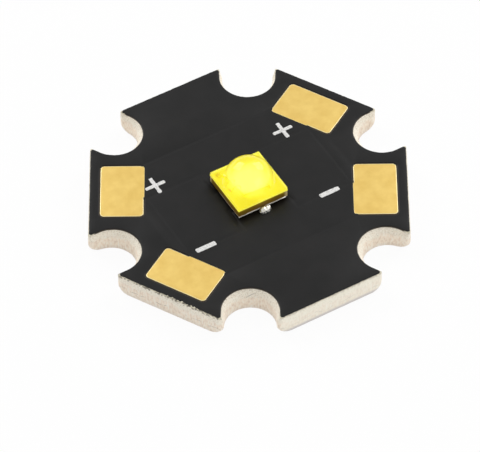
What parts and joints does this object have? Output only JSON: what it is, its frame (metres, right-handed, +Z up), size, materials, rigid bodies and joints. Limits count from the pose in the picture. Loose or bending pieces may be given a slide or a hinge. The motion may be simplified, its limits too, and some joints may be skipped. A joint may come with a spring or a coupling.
{
  "type": "high-power led",
  "caption": "Star-shaped black metal-core board with round-ended screw notches and gold wire pads, carrying a square yellow light emitter under a moulded dome.",
  "frame": {"origin": "middle of the board's underside", "axes": "+Z up out of the board, along the emitter's optical axis; +X along the copper strips, towards a screw notch; the plus pads lie towards +Y"},
  "size_m": [0.0214, 0.02, 0.0042],
  "materials": {
    "core": "punched, matte wall with fine tear marks",
    "dielectric": "thin filled resin layer",
    "copper": "etched copper foil",
    "mask": "black satin lacquer",
    "gold": "satin gold plating",
    "solder": "bright reflowed solder",
    "terminal": "plated metal",
    "ceramic": "fired, unglazed",
    "chip": "polished crystal",
    "protector": "sawn crystal",
    "phosphor": "even yellow coat",
    "silicone": "smooth clear moulding"
  },
  "bodies": {
    "root": {"aluminium_core": "core", "dielectric_layer": "dielectric", "anode_copper": "copper", "cathode_copper": "copper", "thermal_copper": "copper", "anode_vias": "copper", "cathode_vias": "copper", "solder_mask": "mask", "plus_pad_left": "gold", "plus_pad_right": "gold", "minus_pad_left": "gold", "minus_pad_right": "gold", "anode_trace": "gold", "cathode_trace": "gold", "bond_wires": "gold", "anode_solder": "solder", "cathode_solder": "solder", "thermal_solder": "solder", "anode_terminal": "terminal", "cathode_terminal": "terminal", "thermal_terminal": "terminal", "ceramic_substrate": "ceramic", "led_chip": "chip", "surge_protector": "protector", "phosphor_film": "phosphor", "silicone_lens": "silicone"}
  },
  "joints": []
}
